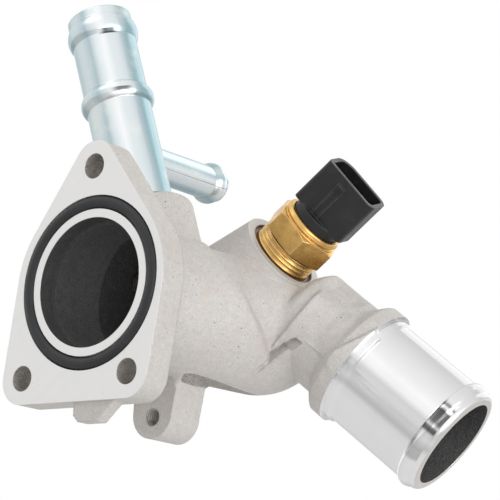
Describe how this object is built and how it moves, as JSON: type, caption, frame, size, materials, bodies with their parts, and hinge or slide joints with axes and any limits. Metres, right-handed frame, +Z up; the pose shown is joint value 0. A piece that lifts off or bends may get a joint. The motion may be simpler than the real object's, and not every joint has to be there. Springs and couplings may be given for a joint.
{
  "type": "coolant flange",
  "caption": "Cast engine coolant outlet: bolted flange with an O-ring, oblique arm, turned hose neck, plated heater pipe with a branch, and a screwed-in temperature sensor.",
  "frame": {"origin": "centre of the port in the sealing face", "axes": "-Y out of the sealing face towards the engine, +Z up along the flange towards its single bolt hole, +X to the side that the arm and the hose neck lean to"},
  "size_m": [0.1465, 0.1036, 0.1647],
  "materials": {
    "casting": "as cast, with the face, neck and sensor seat machined",
    "ring_rubber": "satin",
    "plated_pipe": "zinc plated",
    "plated_branch": "zinc plated",
    "sensor_brass": "turned",
    "connector_plastic": "moulded",
    "seal_rubber": "satin",
    "terminal_metal": "tinned",
    "element_ceramic": "coated ceramic",
    "lead_wire": "tinned wire",
    "sleeve_plastic": "heat-proof sleeve"
  },
  "bodies": {
    "root": {"housing": "casting", "flange_o_ring": "ring_rubber", "heater_pipe": "plated_pipe", "bypass_pipe": "plated_branch", "sensor_body": "sensor_brass", "sensor_connector": "connector_plastic", "connector_seal": "seal_rubber", "terminal_left": "terminal_metal", "terminal_right": "terminal_metal", "thermistor": "element_ceramic", "lead_left": "lead_wire", "lead_right": "lead_wire", "insulating_sleeve": "sleeve_plastic"}
  },
  "joints": []
}
